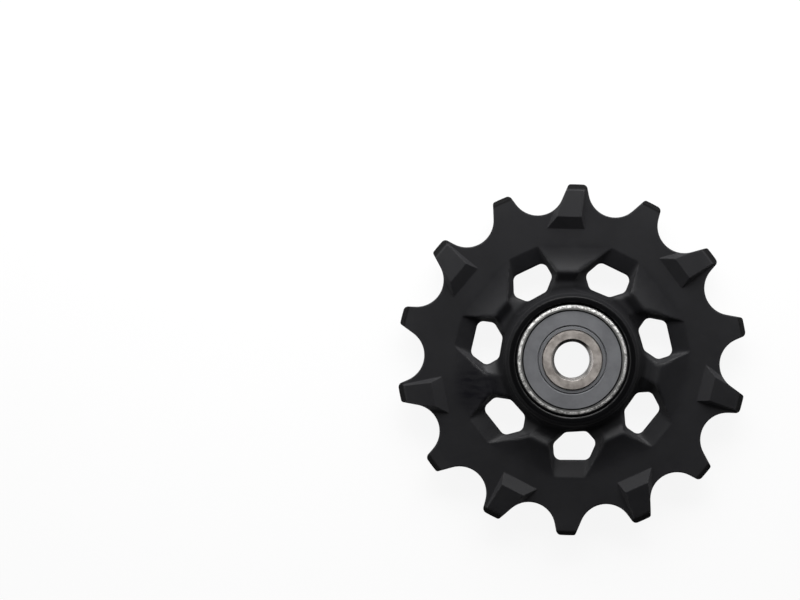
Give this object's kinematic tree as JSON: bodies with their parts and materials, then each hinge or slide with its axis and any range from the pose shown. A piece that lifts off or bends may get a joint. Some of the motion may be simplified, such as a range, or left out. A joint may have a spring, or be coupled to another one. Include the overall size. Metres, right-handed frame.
{
  "type": "derailleur jockey wheel",
  "caption": "Toothed guide wheel for a bicycle derailleur: narrow and wide teeth by turns, windowed spokes and a sealed ball bearing in the hub.",
  "frame": {"origin": "centre of the bearing bore, on the wheel's middle plane", "axes": "+Z along the spin axis, out of the front face; +Y through the middle of a wide tooth"},
  "size_m": [0.057, 0.058, 0.0062],
  "materials": {
    "wheel_plastic": "satin black moulding",
    "ring_steel": "ground",
    "seal_rubber": "moulded, matt",
    "cage_steel": "pressed sheet",
    "ball_steel": "polished"
  },
  "bodies": {
    "axle_side": {"bearing_inner_ring": "ring_steel"},
    "wheel": {"wheel_body": "wheel_plastic", "bearing_outer_ring": "ring_steel", "front_seal": "seal_rubber", "rear_seal": "seal_rubber"},
    "cage": {"cage_front_half": "cage_steel", "cage_rear_half": "cage_steel", "cage_rivets": "cage_steel"},
    "ball_1": {"ball_1": "ball_steel"},
    "ball_2": {"ball_2": "ball_steel"},
    "ball_3": {"ball_3": "ball_steel"},
    "ball_4": {"ball_4": "ball_steel"},
    "ball_5": {"ball_5": "ball_steel"},
    "ball_6": {"ball_6": "ball_steel"},
    "ball_7": {"ball_7": "ball_steel"}
  },
  "joints": [
    {"name": "wheel_spin", "type": "hinge", "parent": "axle_side", "child": "wheel", "pos_m": [0, 0, 0], "axis": [0, 0, 1], "continuous": true},
    {"name": "cage_orbit", "type": "hinge", "parent": "axle_side", "child": "cage", "pos_m": [0, 0, 0], "axis": [0, 0, 1], "continuous": true},
    {"name": "ball_1_roll", "type": "hinge", "parent": "cage", "child": "ball_1", "pos_m": [0, 0.00625, 0], "axis": [0, 0, 1], "continuous": true},
    {"name": "ball_2_roll", "type": "hinge", "parent": "cage", "child": "ball_2", "pos_m": [0.00489, 0.0039, 0], "axis": [0, 0, 1], "continuous": true},
    {"name": "ball_3_roll", "type": "hinge", "parent": "cage", "child": "ball_3", "pos_m": [0.00609, -0.00139, 0], "axis": [0, 0, 1], "continuous": true},
    {"name": "ball_4_roll", "type": "hinge", "parent": "cage", "child": "ball_4", "pos_m": [0.00271, -0.00563, 0], "axis": [0, 0, 1], "continuous": true},
    {"name": "ball_5_roll", "type": "hinge", "parent": "cage", "child": "ball_5", "pos_m": [-0.00271, -0.00563, 0], "axis": [0, 0, 1], "continuous": true},
    {"name": "ball_6_roll", "type": "hinge", "parent": "cage", "child": "ball_6", "pos_m": [-0.00609, -0.00139, 0], "axis": [0, 0, 1], "continuous": true},
    {"name": "ball_7_roll", "type": "hinge", "parent": "cage", "child": "ball_7", "pos_m": [-0.00489, 0.0039, 0], "axis": [0, 0, 1], "continuous": true}
  ],
  "couplings": [
    {"joint": "cage_orbit", "follows": "wheel_spin", "ratio": 0.64},
    {"joint": "ball_1_roll", "follows": "wheel_spin", "ratio": 1.6457},
    {"joint": "ball_2_roll", "follows": "wheel_spin", "ratio": 1.6457},
    {"joint": "ball_3_roll", "follows": "wheel_spin", "ratio": 1.6457},
    {"joint": "ball_4_roll", "follows": "wheel_spin", "ratio": 1.6457},
    {"joint": "ball_5_roll", "follows": "wheel_spin", "ratio": 1.6457},
    {"joint": "ball_6_roll", "follows": "wheel_spin", "ratio": 1.6457},
    {"joint": "ball_7_roll", "follows": "wheel_spin", "ratio": 1.6457}
  ]
}
